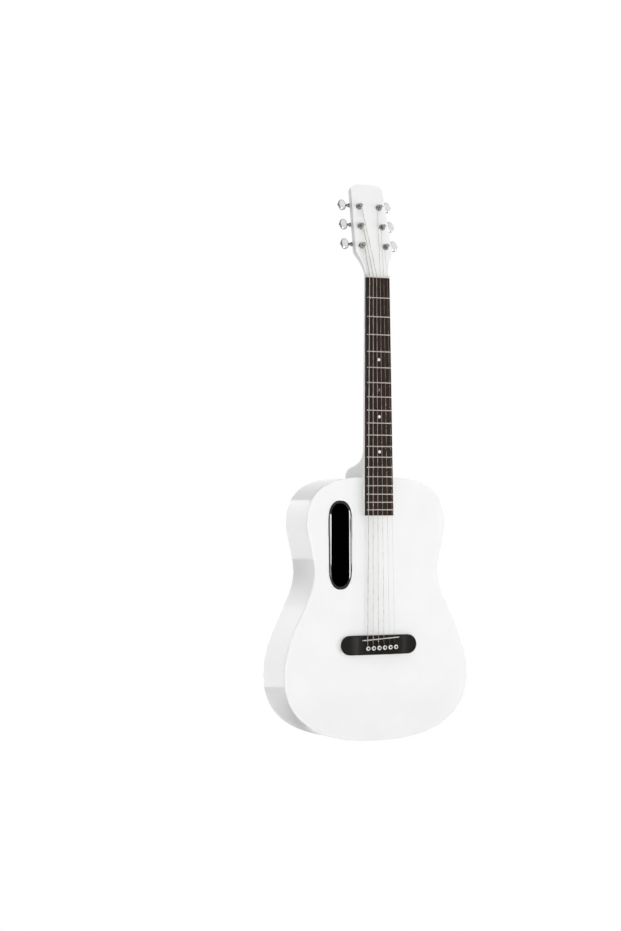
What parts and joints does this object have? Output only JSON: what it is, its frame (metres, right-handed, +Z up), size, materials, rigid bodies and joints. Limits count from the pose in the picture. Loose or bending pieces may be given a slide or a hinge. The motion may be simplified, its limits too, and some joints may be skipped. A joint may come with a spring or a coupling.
{
  "type": "travel guitar",
  "caption": "Compact steel-string guitar with a slim hollow body, offset slot sound hole, pinned bridge, fretted neck and a tilted head with geared tuners.",
  "frame": {"origin": "where a wall hanger's yoke carries the head: the middle of the neck's root just above the nut, between the two flares of the head", "axes": "+Z up the neck towards the head, -Y out of the soundboard and the strings, +X to the treble side, the viewer's right"},
  "size_m": [0.3488, 0.1033, 0.9517],
  "materials": {
    "white_shell": "polished white coat",
    "black_lip": "polished",
    "black_bridge": "satin, stained near black",
    "ivory": "satin ivory",
    "dark_board": "oiled dark wood",
    "fret_metal": "polished crowns",
    "string_metal": "wound and plain wire",
    "tuner_chrome": "mirror plated",
    "plain_steel": "plain",
    "plate_wood": "bare wood"
  },
  "bodies": {
    "instrument": {"body_shell": "white_shell", "soundboard": "white_shell", "soundhole_rim": "black_lip", "bridge": "black_bridge", "saddle": "ivory", "bridge_plate": "plate_wood", "neck": "white_shell", "fingerboard": "dark_board", "nut": "ivory", "truss_rod": "plain_steel", "neck_bolt_upper": "plain_steel", "neck_bolt_lower": "plain_steel", "fret_1": "fret_metal", "fret_2": "fret_metal", "fret_3": "fret_metal", "fret_4": "fret_metal", "fret_5": "fret_metal", "fret_6": "fret_metal", "fret_7": "fret_metal", "fret_8": "fret_metal", "fret_9": "fret_metal", "fret_10": "fret_metal", "fret_11": "fret_metal", "fret_12": "fret_metal", "fret_13": "fret_metal", "fret_14": "fret_metal", "fret_15": "fret_metal", "fret_16": "fret_metal", "fret_17": "fret_metal", "fret_18": "fret_metal", "string_low_e": "string_metal", "string_a": "string_metal", "string_d": "string_metal", "string_g": "string_metal", "string_b": "string_metal", "string_high_e": "string_metal", "tuner_housing_low_e": "tuner_chrome", "tuner_housing_a": "tuner_chrome", "tuner_housing_d": "tuner_chrome", "tuner_housing_g": "tuner_chrome", "tuner_housing_b": "tuner_chrome", "tuner_housing_high_e": "tuner_chrome"},
    "tuner_key_low_e": {"tuner_key_low_e": "tuner_chrome"},
    "tuner_post_low_e": {"tuner_post_low_e": "tuner_chrome"},
    "bridge_pin_low_e": {"bridge_pin_low_e": "ivory"},
    "tuner_key_a": {"tuner_key_a": "tuner_chrome"},
    "tuner_post_a": {"tuner_post_a": "tuner_chrome"},
    "bridge_pin_a": {"bridge_pin_a": "ivory"},
    "tuner_key_d": {"tuner_key_d": "tuner_chrome"},
    "tuner_post_d": {"tuner_post_d": "tuner_chrome"},
    "bridge_pin_d": {"bridge_pin_d": "ivory"},
    "tuner_key_g": {"tuner_key_g": "tuner_chrome"},
    "tuner_post_g": {"tuner_post_g": "tuner_chrome"},
    "bridge_pin_g": {"bridge_pin_g": "ivory"},
    "tuner_key_b": {"tuner_key_b": "tuner_chrome"},
    "tuner_post_b": {"tuner_post_b": "tuner_chrome"},
    "bridge_pin_b": {"bridge_pin_b": "ivory"},
    "tuner_key_high_e": {"tuner_key_high_e": "tuner_chrome"},
    "tuner_post_high_e": {"tuner_post_high_e": "tuner_chrome"},
    "bridge_pin_high_e": {"bridge_pin_high_e": "ivory"}
  },
  "joints": [
    {"name": "key_turn_low_e", "type": "hinge", "parent": "instrument", "child": "tuner_key_low_e", "pos_m": [-0.0229, 0.01681, 0.03752], "axis": [1, 0, 0], "continuous": true},
    {"name": "post_turn_low_e", "type": "hinge", "parent": "instrument", "child": "tuner_post_low_e", "pos_m": [-0.0229, -0.0004, 0.0333], "axis": [0, -0.9711, 0.2385], "continuous": true},
    {"name": "pin_pull_low_e", "type": "slide", "parent": "instrument", "child": "bridge_pin_low_e", "axis": [0, -1, 0], "range_m": [0, 0.03]},
    {"name": "key_turn_a", "type": "hinge", "parent": "instrument", "child": "tuner_key_a", "pos_m": [-0.0209, 0.0253, 0.07209], "axis": [1, 0, 0], "continuous": true},
    {"name": "post_turn_a", "type": "hinge", "parent": "instrument", "child": "tuner_post_a", "pos_m": [-0.0209, 0.0081, 0.06787], "axis": [0, -0.9711, 0.2385], "continuous": true},
    {"name": "pin_pull_a", "type": "slide", "parent": "instrument", "child": "bridge_pin_a", "axis": [0, -1, 0], "range_m": [0, 0.03]},
    {"name": "key_turn_d", "type": "hinge", "parent": "instrument", "child": "tuner_key_d", "pos_m": [-0.0191, 0.03381, 0.10676], "axis": [1, 0, 0], "continuous": true},
    {"name": "post_turn_d", "type": "hinge", "parent": "instrument", "child": "tuner_post_d", "pos_m": [-0.0191, 0.01661, 0.10254], "axis": [0, -0.9711, 0.2385], "continuous": true},
    {"name": "pin_pull_d", "type": "slide", "parent": "instrument", "child": "bridge_pin_d", "axis": [0, -1, 0], "range_m": [0, 0.03]},
    {"name": "key_turn_g", "type": "hinge", "parent": "instrument", "child": "tuner_key_g", "pos_m": [0.0191, 0.03381, 0.10676], "axis": [1, 0, 0], "continuous": true},
    {"name": "post_turn_g", "type": "hinge", "parent": "instrument", "child": "tuner_post_g", "pos_m": [0.0191, 0.01661, 0.10254], "axis": [0, -0.9711, 0.2385], "continuous": true},
    {"name": "pin_pull_g", "type": "slide", "parent": "instrument", "child": "bridge_pin_g", "axis": [0, -1, 0], "range_m": [0, 0.03]},
    {"name": "key_turn_b", "type": "hinge", "parent": "instrument", "child": "tuner_key_b", "pos_m": [0.0209, 0.0253, 0.07209], "axis": [1, 0, 0], "continuous": true},
    {"name": "post_turn_b", "type": "hinge", "parent": "instrument", "child": "tuner_post_b", "pos_m": [0.0209, 0.0081, 0.06787], "axis": [0, -0.9711, 0.2385], "continuous": true},
    {"name": "pin_pull_b", "type": "slide", "parent": "instrument", "child": "bridge_pin_b", "axis": [0, -1, 0], "range_m": [0, 0.03]},
    {"name": "key_turn_high_e", "type": "hinge", "parent": "instrument", "child": "tuner_key_high_e", "pos_m": [0.0229, 0.01681, 0.03752], "axis": [1, 0, 0], "continuous": true},
    {"name": "post_turn_high_e", "type": "hinge", "parent": "instrument", "child": "tuner_post_high_e", "pos_m": [0.0229, -0.0004, 0.0333], "axis": [0, -0.9711, 0.2385], "continuous": true},
    {"name": "pin_pull_high_e", "type": "slide", "parent": "instrument", "child": "bridge_pin_high_e", "axis": [0, -1, 0], "range_m": [0, 0.03]}
  ],
  "couplings": [
    {"joint": "post_turn_low_e", "follows": "key_turn_low_e", "ratio": -0.071429},
    {"joint": "post_turn_a", "follows": "key_turn_a", "ratio": -0.071429},
    {"joint": "post_turn_d", "follows": "key_turn_d", "ratio": -0.071429},
    {"joint": "post_turn_g", "follows": "key_turn_g", "ratio": 0.071429},
    {"joint": "post_turn_b", "follows": "key_turn_b", "ratio": 0.071429},
    {"joint": "post_turn_high_e", "follows": "key_turn_high_e", "ratio": 0.071429}
  ]
}
